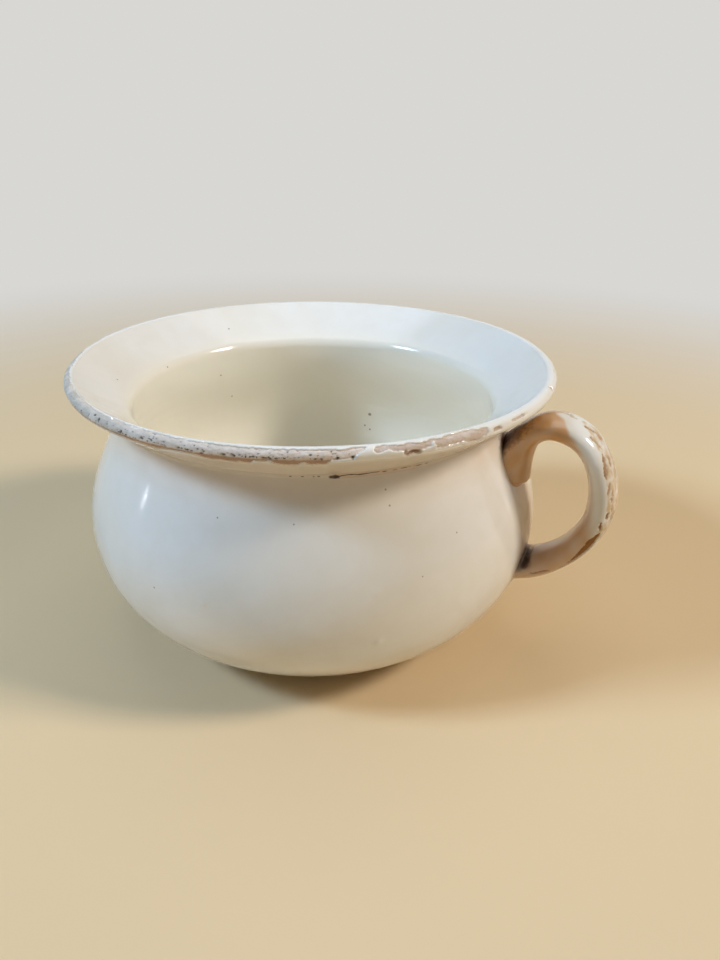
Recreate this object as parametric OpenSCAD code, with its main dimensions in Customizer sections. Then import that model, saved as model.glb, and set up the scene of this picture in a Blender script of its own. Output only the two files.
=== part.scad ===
// Glazed earthenware chamber pot: a round-bellied bowl with an everted rim and one strap handle.
// Millimetres, +Z up. The origin is on the pot's axis, on the plane that the foot ring stands on.
// The handle lies along +X.

/* [Rim and neck] */
// Outside diameter of the rim
rim_d = 224; // [210:1:238]
// Height from the foot to the top of the rim
pot_h = 133.5; // [122:0.5:148]
// Thickness of the rounded edge of the rim
lip_t = 4.8; // [3.6:0.1:6.2]
// Outside diameter of the neck, in the crease under the rim
neck_d = 185; // [176:1:194]
// Depth of that crease below the top of the rim
neck_drop = 18; // [16:0.5:22]
// Inward lean of the neck below the crease, in degrees
neck_lean = 10; // [4:1:16]
// Fillet radius in the crease
crease_r = 3; // [2:0.5:4]
// Radius of the roll from the top of the rim into the throat
roll_r = 6; // [4:0.5:8]
// Depth of the narrowest part of the throat below the top of the rim
throat_drop = 20.5; // [18.5:0.5:24]

/* [Belly] */
// Largest diameter of the belly
belly_d = 218; // [208:1:228]
// Height of the largest diameter
belly_z = 60; // [54:1:66]
// Thickness of the clay wall
wall_t = 6.6; // [5:0.1:8]
// Thickness of the floor
floor_t = 7; // [5:0.5:10]

/* [Foot ring] */
// Diameter where the belly meets the foot ring
foot_d = 122; // [110:1:134]
// Height of the foot ring
foot_h = 4; // [2.5:0.5:6]
// Width of the foot ring
foot_w = 8; // [6:0.5:12]
// Bevel on both edges of the foot ring
foot_bevel = 1; // [0.5:0.1:1.5]

/* [Handle] */
// Width of the strap
strap_w = 20.6; // [16:0.2:26]
// Thickness of the strap
strap_t = 10; // [8:0.2:13]
// Thickness of the strap where it is fullest, at the bow
bow_t = 11.4; // [9:0.2:14]
// Free space for the fingers between the belly and the strap
finger_gap = 24.7; // [20:0.1:32]
// How far the top of the strap's curve lies outside the belly
crest_out = 6.6; // [4:0.1:12]
// Depth of the strap's centre line at its top, below the top of the rim
crest_drop = 16.7; // [14.5:0.1:22]
// Depth of the strap's outermost point below its top
bow_drop = 32.4; // [26:0.1:38]
// Depth of the upper end's tip below the top of the strap
tongue_drop = 27.9; // [23:0.1:33]
// Height of the lower end's centre
lower_z = 45; // [38:0.5:52]
// Width of the strap's ends, where they spread on the bowl
end_w = 23.6; // [18:0.2:28]
// Thickness of the upper end
upper_end_t = 23; // [18:0.5:26]
// Thickness of the lower end
lower_end_t = 12; // [10:0.5:16]

/* [Joints and glaze] */
// Thickness of the luting slip under both ends of the handle
slip_t = 1.2; // [0.8:0.1:2]
// Thickness of the glaze
glaze_t = 0.6; // [0.4:0.1:1]
// Azimuth where the worn stretch of the rim's edge starts, in degrees from the handle
worn_from = 150; // [120:3:180]
// Azimuth where the worn stretch ends
worn_to = 339; // [300:3:345]

/* [Hidden] */
$fn = 120;

biscuit = "#c8b5a2";
slip_clay = "#b9a693";
white_glaze = "#efebe1";
cream_glaze = "#e6dfcd";

// Directions and angles in a profile's plane, where a point is [radius or reach, height]
function unit(a) = [cos(a), sin(a)];
function angle_of(v) = atan2(v[1], v[0]);
function reversed(line) = [for (i = [len(line) - 1:-1:0]) line[i]];

// Points along a circular arc, a quarter of an ellipse and a cubic curve with four control points
function arc(c, r, a0, a1, n) = [for (i = [0:n]) c + r * unit(a0 + (a1 - a0) * i / n)];
function quarter(c, rx, rz, n) = [for (i = [0:n]) c + [rx * cos(90 * i / n), -rz * sin(90 * i / n)]];
function curve(p, n) = [
    for (i = [0:n])
        let (t = i / n, s = 1 - t)
        s * s * s * p[0] + 3 * t * s * s * p[1] + 3 * t * t * s * p[2] + t * t * t * p[3]
];

// A line moved sideways by d, to the right of its travel, with mitred corners
function side(a, b) = let (t = (b - a) / norm(b - a)) [t[1], -t[0]];
function shifted(line, d) = let (last = len(line) - 1) [
    for (i = [0:last])
        let (
            before = side(line[max(i, 1) - 1], line[max(i, 1)]),
            after = side(line[min(i, last - 1)], line[min(i, last - 1) + 1]),
            m = before + after
        )
        line[i] + 2 * d * m / (m * m)
];

rim_r = rim_d / 2;
belly_r = belly_d / 2;
neck_r = neck_d / 2;
foot_r = foot_d / 2;
lip_r = lip_t / 2;

// Lower belly: the one arc that is upright at the largest diameter and ends on the foot ring
belly_side = belly_r - foot_r;
belly_rise = belly_z - foot_h;
belly_arc_r = (pow(belly_side, 2) + pow(belly_rise, 2)) / (2 * belly_side);
belly_c = [belly_r - belly_arc_r, belly_z];
foot_top = [foot_r, foot_h];
lower_belly = arc(belly_c, belly_arc_r, angle_of(foot_top - belly_c), 0, 20);

// Rim: its underside runs from the crease, tangent to the round lip
lip_c = [rim_r - lip_r, pot_h - lip_r];
crease = [neck_r, pot_h - neck_drop];
crease_to_lip = lip_c - crease;
underside_a = angle_of(crease_to_lip) - asin(lip_r / norm(crease_to_lip));
neck_up = unit(90 + neck_lean);
crease_turn = 90 + neck_lean - underside_a;
neck_top = crease - crease_r * tan(crease_turn / 2) * neck_up;
crease_c = neck_top + crease_r * unit(neck_lean);

// Shoulder: an S curve from the upright belly to the leaning neck, with these shares of its height as reach
shoulder_reach = 0.42;
neck_reach = 0.33;
shoulder_h = neck_top[1] - belly_z;
shoulder = curve([
    [belly_r, belly_z],
    [belly_r, belly_z + shoulder_reach * shoulder_h],
    neck_top - neck_reach * shoulder_h * neck_up,
    neck_top
], 16);
crease_fillet = arc(crease_c, crease_r, 180 + neck_lean, 90 + underside_a, 6);

// Throat: its roll and the lip share one tangent, which is the top of the rim
throat_r = neck_r - wall_t;
throat_c = [throat_r + roll_r, pot_h - throat_drop];
throat_to_lip = lip_c - throat_c;
rim_top_a = angle_of(throat_to_lip) + acos((roll_r - lip_r) / norm(throat_to_lip));
roll = arc(throat_c, roll_r, rim_top_a, 180, 10);

// The lip in three stretches: below the worn edge, the worn edge and above it.
// The first and last turn by these angles from the tangents under and on top of the rim.
lip_under_turn = 17;
lip_over_turn = 53;
worn_low_a = underside_a - 90 + lip_under_turn;
worn_high_a = rim_top_a - lip_over_turn;
lip_under = arc(lip_c, lip_r, underside_a - 90, worn_low_a, 3);
lip_edge = arc(lip_c, lip_r, worn_low_a, worn_high_a, 8);
lip_over = arc(lip_c, lip_r, worn_high_a, rim_top_a, 4);

// Inside: an S curve down from the throat, then a quarter ellipse to the flat of the floor,
// which ends this far within the foot's edge
floor_inset = 3;
inside_r = belly_r - wall_t;
floor_z = foot_h + floor_t;
floor_r = foot_r - floor_inset;
inside_reach = 0.38;
inside_h = pot_h - throat_drop - belly_z;
inside_shoulder = curve([
    [throat_r, belly_z + inside_h],
    [throat_r, belly_z + (1 - inside_reach) * inside_h],
    [inside_r, belly_z + inside_reach * inside_h],
    [inside_r, belly_z]
], 14);
inside_belly = quarter([floor_r, belly_z], inside_r - floor_r, belly_z - floor_z, 16);

// Surface lines, each with the clay on its left: up the outside, over the edge, down the inside
function after_first(line) = [for (i = [1:len(line) - 1]) line[i]];
outside_line = concat(lower_belly, after_first(shoulder), after_first(crease_fillet), lip_under);
edge_line = after_first(lip_edge);
inside_line = concat(lip_over, roll, after_first(inside_shoulder), after_first(inside_belly), [[0, floor_z]]);
foot_line = [
    [0, foot_h],
    [foot_r - foot_w, foot_h],
    [foot_r - foot_w, foot_bevel],
    [foot_r - foot_w + foot_bevel, 0],
    [foot_r - foot_bevel, 0],
    [foot_r, foot_bevel]
];

// Outside radius of the bowl at a height on the belly or neck
function bowl_r(z) = lookup(z, [for (p = concat(lower_belly, after_first(shoulder))) [p[1], p[0]]]);

// Handle: the strap's centre line in three curves, from the upper end over the top and the bow to the lower
upper_sink = 7.2;
lower_sink = 4.4;
upper_lean = 76;
lower_lean = 8;
// How far the curves reach along their tangents, as shares of the rise or width that they span
upper_reach = 0.43;
crest_reach_in = 0.54;
crest_reach_out = 0.77;
bow_reach = 0.34;
lower_reach = 0.7;
crest = [belly_r + crest_out, pot_h - crest_drop];
bow = [belly_r + finger_gap + bow_t / 2, crest[1] - bow_drop];
upper_tip = [bowl_r(crest[1] - tongue_drop) - upper_sink, crest[1] - tongue_drop];
lower_tip = [bowl_r(lower_z) - lower_sink, lower_z];
strap_line = concat(
    curve([
        upper_tip,
        upper_tip + upper_reach * tongue_drop * unit(upper_lean),
        crest - [crest_reach_in * (crest[0] - upper_tip[0]), 0],
        crest
    ], 12),
    after_first(curve([
        crest,
        crest + [crest_reach_out * (bow[0] - crest[0]), 0],
        bow + [0, bow_reach * bow_drop],
        bow
    ], 9)),
    after_first(curve([
        bow,
        bow - [0, bow_reach * (bow[1] - lower_z)],
        lower_tip + lower_reach * (bow[0] - lower_tip[0]) * unit(lower_lean),
        lower_tip
    ], 12))
);
strap_last = len(strap_line) - 1;
between_z = (upper_tip[1] + lower_tip[1]) / 2;

// How much of an end's spread is left at ring i: the whole at the tip, none past the given share of the line
upper_spread = 0.26;
lower_spread = 0.13;
function ease(x) = let (t = min(max(x, 0), 1)) 1 - t * t * (3 - 2 * t);
function upper_part(i) = ease(i / strap_last / upper_spread);
function lower_part(i) = ease((strap_last - i) / strap_last / lower_spread);
// How much of the bow's fullness ring i has: the whole at bow_share, none beyond the spread on either side
bow_share = 0.66;
bow_spread = 0.24;
function bow_part(i) = ease(abs(i / strap_last - bow_share) / bow_spread);
// The upper end's tip is rounded off, like the end of an ellipse, over its first rings
tip_rings = 2;
tip_cut = 0.27;
function tip_part(i) = sqrt(1 - pow(max(1 - (i + tip_cut) / tip_rings, 0), 2));
function half_width(i) = tip_part(i) * (strap_w + (end_w - strap_w) * (upper_part(i) + lower_part(i))) / 2;
function half_thick(i) = tip_part(i) * (
    strap_t
    + (upper_end_t - strap_t) * upper_part(i)
    + (bow_t - strap_t) * bow_part(i)
    + (lower_end_t - strap_t) * lower_part(i)
) / 2;

// One ring of the strap: a superellipse across the centre line, grown by g all round
strap_sides = 24;
section_power = 2.1;
function rounded(x) = sign(x) * pow(abs(x), 2 / section_power);
function strap_ring(i, g) =
    let (
        ahead = strap_line[min(i + 1, strap_last)],
        behind = strap_line[max(i - 1, 0)],
        n = -side(behind, ahead),
        w = half_width(i) + g,
        t = half_thick(i) + g
    )
    [
        for (k = [0:strap_sides - 1])
            let (
                a = 360 * k / strap_sides,
                p = strap_line[i] + t * rounded(sin(a)) * n
            )
            [p[0], w * rounded(cos(a)), p[1]]
    ];
function strap_points(g) = [for (i = [0:strap_last]) each strap_ring(i, g)];

// Triangles between neighbouring rings, whose points start at number base; flip turns them inside out
function strap_walls(base, flip) = [
    for (i = [0:strap_last - 1])
        for (k = [0:strap_sides - 1])
            let (
                a = base + i * strap_sides + k,
                b = base + i * strap_sides + (k + 1) % strap_sides,
                c = a + strap_sides,
                d = b + strap_sides
            )
            each (flip ? [[a, b, c], [b, d, c]] : [[a, c, b], [b, c, d]])
];

// Flat caps on both ends of the solid strap
function strap_caps() = [
    [for (k = [0:strap_sides - 1]) k],
    [for (k = [strap_sides - 1:-1:0]) strap_last * strap_sides + k]
];

// Flat rings that join a tube's outer wall to its inner wall, whose points start at number inner
function tube_caps(inner) = [
    for (k = [0:strap_sides - 1])
        let (
            n = (k + 1) % strap_sides,
            far = strap_last * strap_sides
        )
        each [
            [k, n, inner + k],
            [n, inner + n, inner + k],
            [far + k, far + inner + k, far + n],
            [far + n, far + inner + k, far + inner + n]
        ]
];

// The strap as a solid, its ends sunk into the bowl
module strap() {
    polyhedron(strap_points(0), concat(strap_walls(0, false), strap_caps()));
}

// A coat of thickness t on the strap, open at both ends
module strap_coat(t) {
    inner = (strap_last + 1) * strap_sides;
    polyhedron(
        concat(strap_points(t), strap_points(0)),
        concat(strap_walls(0, false), strap_walls(inner, true), tube_caps(inner))
    );
}

// The bowl without its hollow, grown by g, to cut pieces that sit on its outside
module solid_bowl(g) {
    rotate_extrude()
        polygon(concat([[0, foot_h]], shifted(concat(outside_line, edge_line), g), [[0, pot_h]]));
}

// A coat of thickness t along a surface line
module coat(line, t) {
    rotate_extrude() polygon(concat(line, reversed(shifted(line, t))));
}

// The stretch of the rim's edge that has lost its glaze, as a wedge about the centre of the lip
module worn_wedge() {
    reach = lip_t + glaze_t;
    rotate_extrude(angle = worn_to - worn_from, start = worn_from)
        polygon(concat([lip_c], arc(lip_c, reach, worn_low_a, worn_high_a, 4)));
}

// Slip fills the joint between the bowl and one end of the strap
module slip_pad(above) {
    slab = 2 * rim_d;
    intersection() {
        strap();
        difference() {
            solid_bowl(slip_t);
            solid_bowl(0);
        }
        translate([0, 0, between_z + (above ? slab / 2 : -slab / 2)])
            cube(slab, center = true);
    }
}

// Thrown and turned biscuit body
module bowl() {
    color(biscuit)
        rotate_extrude() polygon(concat(foot_line, outside_line, edge_line, inside_line));
}

// Pulled strap, cut to the bowl
module handle() {
    color(biscuit) difference() {
        strap();
        solid_bowl(slip_t);
    }
}

// Luting under the upper end
module upper_slip() {
    color(slip_clay) slip_pad(true);
}

// Luting under the lower end
module lower_slip() {
    color(slip_clay) slip_pad(false);
}

// Coat poured over the inside and the top of the rim
module inside_glaze() {
    color(cream_glaze) coat(inside_line, glaze_t);
}

// Coat on the outside, worn off along part of the rim's edge and left off the foot ring
module outside_glaze() {
    color(white_glaze) difference() {
        coat(concat(outside_line, edge_line), glaze_t);
        worn_wedge();
        strap();
    }
}

// Coat on the strap, meeting the coat on the bowl
module handle_glaze() {
    color(white_glaze) difference() {
        strap_coat(glaze_t);
        solid_bowl(glaze_t);
    }
}

bowl();
handle();
upper_slip();
lower_slip();
inside_glaze();
outside_glaze();
handle_glaze();
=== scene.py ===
import bpy
import numpy as np
from mathutils import Matrix


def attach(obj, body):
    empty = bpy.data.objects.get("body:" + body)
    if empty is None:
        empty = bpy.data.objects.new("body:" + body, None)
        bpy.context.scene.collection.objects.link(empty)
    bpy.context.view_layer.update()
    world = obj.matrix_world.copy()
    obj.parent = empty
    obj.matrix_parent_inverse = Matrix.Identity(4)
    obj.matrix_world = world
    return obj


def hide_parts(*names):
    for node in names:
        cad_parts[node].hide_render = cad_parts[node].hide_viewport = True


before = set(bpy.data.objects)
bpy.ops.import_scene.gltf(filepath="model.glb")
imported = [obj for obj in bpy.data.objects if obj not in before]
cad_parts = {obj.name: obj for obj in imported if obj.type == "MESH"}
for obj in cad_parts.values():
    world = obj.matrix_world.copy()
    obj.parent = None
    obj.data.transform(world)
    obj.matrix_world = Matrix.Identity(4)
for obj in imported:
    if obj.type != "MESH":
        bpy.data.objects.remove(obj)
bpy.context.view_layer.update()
mm = 0.001
print("frame loaded,", len(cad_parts), "nodes")

# Sizes in millimetres and degrees, as the solids have them. A profile point is [radius, height].
# Azimuths run from the handle, anticlockwise from above. Lip angles run up from the rim's outermost line.
pot = dict(
    rimR=112.0, height=133.5, lipR=2.4,
    neckR=92.5, neckDrop=18.0, neckLean=10.0, creaseR=3.0,
    rollR=6.0, throatDrop=20.5,
    bellyR=109.0, bellyZ=60.0, wallT=6.6, shoulderReach=0.42, neckReach=0.33, insideReach=0.38,
    floorZ=11.0, floorR=58.0,
    footR=61.0, footH=4.0, footW=8.0, footBevel=1.0,
)


def unitAt(degrees):
    # the direction at an angle: its cosine and sine
    return np.array([np.cos(np.radians(degrees)), np.sin(np.radians(degrees))])


def angleOf(vector):
    # a direction's angle in degrees: the arc tangent of its second part over its first
    return np.degrees(np.arctan2(vector[1], vector[0]))


def smooth(x):
    # 0 below 0, 1 above 1, and 3x^2 - 2x^3 between
    x = np.clip(x, 0.0, 1.0)
    return x * x * (3.0 - 2.0 * x)


def ramp(x, start, width):
    # 0 up to the start and 1 from a width further on, smooth between; a negative width runs the other way
    return smooth((x - start) / width)


def hump(x, middle, reach, flat):
    # 1 round the middle and 0 far from it: flat less the distance over the reach, smoothed
    return smooth(flat - np.abs(x - middle) / reach)


def straightLine(start, end, count):
    # evenly spaced points from one end to the other
    share = np.linspace(0.0, 1.0, count)[:, None]
    return np.asarray(start) * (1.0 - share) + np.asarray(end) * share


def arcLine(centre, radii, start, end, count):
    # an ellipse's arc: the centre plus the radii times the cosine and sine of evenly spaced angles
    angle = np.radians(np.linspace(start, end, count))
    return np.asarray(centre) + np.asarray(radii) * np.stack([np.cos(angle), np.sin(angle)], 1)


def cubicLine(points, count):
    # a cubic curve: four points weighted by (1-t)^3, 3t(1-t)^2, 3t^2(1-t) and t^3
    t = np.linspace(0.0, 1.0, count)
    weights = np.stack([(1 - t) ** 3, 3 * t * (1 - t) ** 2, 3 * t * t * (1 - t), t ** 3], 1)
    return weights @ np.asarray(points)


def joinLines(*lines):
    # lines end to end, without the point that each shares with the one before
    return np.concatenate([lines[0]] + [line[1:] for line in lines[1:]])


def tightEnds(line):
    # the line with one more point close to each end, so that a coat shades evenly up to its edge
    return np.concatenate([line[:1], 0.98 * line[:1] + 0.02 * line[1:2], line[1:-1],
                           0.02 * line[-2:-1] + 0.98 * line[-1:], line[-1:]])


def lineNormals(line):
    # the right-hand normal of the mean direction before and after each point
    step = np.diff(line, axis=0)
    step = step / np.linalg.norm(step, axis=1, keepdims=True)
    along = np.concatenate([step[:1], step[:-1] + step[1:], step[-1:]])
    along = along / np.linalg.norm(along, axis=1, keepdims=True)
    return np.stack([along[:, 1], -along[:, 0]], 1)


def lineLengths(line):
    # distance from the line's start to each point
    return np.concatenate([[0.0], np.cumsum(np.linalg.norm(np.diff(line, axis=0), axis=1))])


def turnLine(line, count):
    # a profile turned about the pot's axis: points [r cos a, r sin a, z] and their outward normals
    azimuth = np.linspace(0.0, 2.0 * np.pi, count, endpoint=False)
    across, normals = np.stack([np.cos(azimuth), np.sin(azimuth)], -1), lineNormals(line)

    def turned(profile):
        # the first part carried round by cosine and sine, the second kept
        flat = profile[:, None, :1] * across
        return np.concatenate([flat, np.broadcast_to(profile[:, None, 1:], flat.shape[:2] + (1,))], -1)

    return turned(line), turned(normals), np.degrees(azimuth)


def wobble(points, length, count, seed):
    # a seamless unevenness of about unit size: the mean of cosines along random directions in space,
    # whose wavelengths lie around the given length
    rng = np.random.default_rng(seed)
    heading = rng.normal(size=(count, 3))
    heading *= rng.uniform(0.7, 1.5, (count, 1)) / np.linalg.norm(heading, axis=1, keepdims=True)
    phase = rng.uniform(0.0, 2.0 * np.pi, count)
    total = np.zeros(points.shape[:-1])
    for direction, shift in zip(2.0 * np.pi / length * heading, phase):
        total += np.cos(points @ direction + shift)
    return total / np.sqrt(count / 2.0)


def uneven(points, *layers):
    # the sum of several wobbles, each given as its size, length, count and seed
    return sum(size * wobble(points, length, count, seed) for size, length, count, seed in layers)


# How much the top of the pot is drawn in, as a share, and sunk, in millimetres; and where, in radians
settling = dict(drawn=0.0020, drawnTurn=1.1, sunk=0.25, sunkTurn=0.6)


def settle(points):
    # a thrown pot is never quite round or level: the higher up, the more it is drawn in, twice round its
    # axis, and sunk, three times round
    turn, rise = np.arctan2(points[..., 1], points[..., 0]), points[..., 2] / pot["height"]
    drawn = 1.0 - settling["drawn"] * rise * (0.5 + 0.5 * np.cos(2.0 * turn - settling["drawnTurn"]))
    sunk = settling["sunk"] * rise ** 2 * (0.5 + 0.5 * np.cos(3.0 * turn + settling["sunkTurn"]))
    return np.stack([points[..., 0] * drawn, points[..., 1] * drawn, points[..., 2] - sunk], -1)


def raised(points, normals, lift):
    # a surface moved along its normals by so many millimetres, on the pot as it settled
    return settle(points + np.asarray(lift)[..., None] * normals)


def someRows(line, count):
    # evenly spaced rows of a line, with both its ends
    return np.linspace(0, len(line) - 1, count).astype(int)


def turnFrom(azimuth, place):
    # degrees round the pot from a place, between -180 and 180
    return (azimuth - place + 180.0) % 360.0 - 180.0


def spotReach(azimuth, along, radius, place, height, halfLength, halfHeight):
    # distance from an oval spot's middle, 1 at its edge: the root of the squares' sum of the ways round the
    # pot and along the profile, each over the spot's half size
    turn = np.radians(turnFrom(azimuth, place)) * radius
    return np.hypot(turn / halfLength, (along - height) / halfHeight)


def gridMesh(name, points, poles, marks=None, flatRows=()):
    # a grid whose columns close round; its rows close too, or end in a point where poles is true; the faces
    # that start from a flat row are shaded flat
    rows, cols = points.shape[:2]
    corners = points.reshape(-1, 3)
    index = np.arange(rows * cols).reshape(rows, cols)
    low, high = (index[:-1], index[1:]) if poles else (index, np.roll(index, -1, 0))
    quads = np.stack([low, np.roll(low, -1, 1), np.roll(high, -1, 1), high], -1).reshape(-1, 4)
    fans = np.zeros((0, 3), int)
    if poles:
        corners = np.concatenate([corners, points[0].mean(0)[None], points[-1].mean(0)[None]])
        first, last = index[0], index[-1]
        start, end = np.full(cols, rows * cols), np.full(cols, rows * cols + 1)
        fans = np.concatenate([np.stack([np.roll(first, -1), first, start], -1),
                               np.stack([last, np.roll(last, -1), end], -1)])
    a, b, c, d = (corners[quads[:, k]] for k in range(4))
    volume = np.sum(a * np.cross(b, c)) + np.sum(a * np.cross(c, d))
    if volume < 0.0:  # faces point outwards
        quads, fans = quads[:, ::-1], fans[:, ::-1]
    mesh = bpy.data.meshes.new(name)
    mesh.vertices.add(len(corners))
    mesh.vertices.foreach_set("co", (corners * mm).ravel())
    sizes = np.concatenate([np.full(len(quads), 4), np.full(len(fans), 3)])
    mesh.loops.add(int(sizes.sum()))
    mesh.loops.foreach_set("vertex_index", np.concatenate([quads.ravel(), fans.ravel()]))
    mesh.polygons.add(len(sizes))
    mesh.polygons.foreach_set("loop_start", np.concatenate([[0], np.cumsum(sizes)[:-1]]))
    shaded = np.ones(len(sizes), bool)
    shaded[:len(quads)] = ~np.repeat(np.isin(np.arange(len(low)), flatRows), cols)
    mesh.polygons.foreach_set("use_smooth", shaded)
    for mark, values in (marks or {}).items():
        padded = np.concatenate([values.ravel(), np.zeros(len(corners) - values.size)])
        mesh.attributes.new(mark, "FLOAT", "POINT").data.foreach_set("value", padded)
    mesh.update(calc_edges=True)
    mesh.validate()
    piece = bpy.data.objects.new(name, mesh)
    bpy.context.scene.collection.objects.link(piece)
    print(name, "has", 2 * len(quads) + len(fans), "triangles")
    return piece


def shellMesh(name, front, back, marks=None):
    # a thin coat: the rows of its front, then the rows of its back in reverse, closed into a ring; each half
    # of the back carries the marks of the edge it is next to, and the two ends are shaded flat
    last, first = len(back) // 2, len(back) - len(back) // 2
    edged = {mark: np.concatenate([values, np.repeat(values[-1:], last, 0), np.repeat(values[:1], first, 0)])
             for mark, values in (marks or {}).items()}
    ends = (len(front) - 1, len(front) + len(back) - 1)
    return gridMesh(name, np.concatenate([front, back[::-1]]), False, edged, ends)


def dress(piece, material, slot, *nodes):
    # seats a finished piece on the pot in place of its plain solids
    piece.data.materials.append(material)
    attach(piece, "root")
    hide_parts(*nodes)


# Profile: up the outside from the foot, over the lip and down the inside
footTop = np.array([pot["footR"], pot["footH"]])
side, rise = pot["bellyR"] - pot["footR"], pot["bellyZ"] - pot["footH"]
bellyArcR = (side ** 2 + rise ** 2) / (2.0 * side)
bellyCentre = np.array([pot["bellyR"] - bellyArcR, pot["bellyZ"]])
lowerBelly = arcLine(bellyCentre, bellyArcR, angleOf(footTop - bellyCentre), 0.0, 62)
lipCentre = np.array([pot["rimR"] - pot["lipR"], pot["height"] - pot["lipR"]])
creasePoint = np.array([pot["neckR"], pot["height"] - pot["neckDrop"]])
toLip = lipCentre - creasePoint
underAngle = angleOf(toLip) - np.degrees(np.arcsin(pot["lipR"] / np.hypot(*toLip)))
neckUp = unitAt(90.0 + pot["neckLean"])
creaseTurn = np.radians(90.0 + pot["neckLean"] - underAngle)
neckTop = creasePoint - pot["creaseR"] * np.tan(creaseTurn / 2.0) * neckUp
shoulderH = neckTop[1] - pot["bellyZ"]
shoulder = cubicLine([
    [pot["bellyR"], pot["bellyZ"]],
    [pot["bellyR"], pot["bellyZ"] + pot["shoulderReach"] * shoulderH],
    neckTop - pot["neckReach"] * shoulderH * neckUp,
    neckTop,
], 56)
creaseCentre = neckTop + pot["creaseR"] * unitAt(pot["neckLean"])
crease = arcLine(creaseCentre, pot["creaseR"], 180.0 + pot["neckLean"], 90.0 + underAngle, 11)
throatR = pot["neckR"] - pot["wallT"]
throatCentre = np.array([throatR + pot["rollR"], pot["height"] - pot["throatDrop"]])
toLip = lipCentre - throatCentre
topAngle = angleOf(toLip) + np.degrees(np.arccos((pot["rollR"] - pot["lipR"]) / np.hypot(*toLip)))
lip = arcLine(lipCentre, pot["lipR"], underAngle - 90.0, topAngle, 32)
roll = arcLine(throatCentre, pot["rollR"], topAngle, 180.0, 18)
insideR, insideH = pot["bellyR"] - pot["wallT"], throatCentre[1] - pot["bellyZ"]
insideShoulder = cubicLine([
    [throatR, pot["bellyZ"] + insideH],
    [throatR, pot["bellyZ"] + (1.0 - pot["insideReach"]) * insideH],
    [insideR, pot["bellyZ"] + pot["insideReach"] * insideH],
    [insideR, pot["bellyZ"]],
], 34)
insideBelly = arcLine([pot["floorR"], pot["bellyZ"]],
                      [insideR - pot["floorR"], pot["bellyZ"] - pot["floorZ"]], 0.0, -90.0, 36)
bodyLine = tightEnds(joinLines(lowerBelly, shoulder))
underTurn = lip[0] - 8.5 * unitAt(underAngle)  # from here to the lip the underside may be worn
underLine = joinLines(straightLine(crease[-1], underTurn, 5), straightLine(underTurn, lip[0], 16))
rimLine = tightEnds(joinLines(crease, underLine, lip))
insideLine = tightEnds(joinLines(straightLine(lip[-1], roll[0], 12), roll, insideShoulder, insideBelly,
                                 straightLine([pot["floorR"], pot["floorZ"]], [2.0, pot["floorZ"]], 12)))


def lipDistance(line):
    # distance along the line from the rim's outermost line, up and inwards, in millimetres
    lengths, start = lineLengths(line), np.argmin(np.linalg.norm(line - lip[0], axis=1))
    return lengths - lengths[start] + np.radians(underAngle - 90.0) * pot["lipR"]


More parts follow.
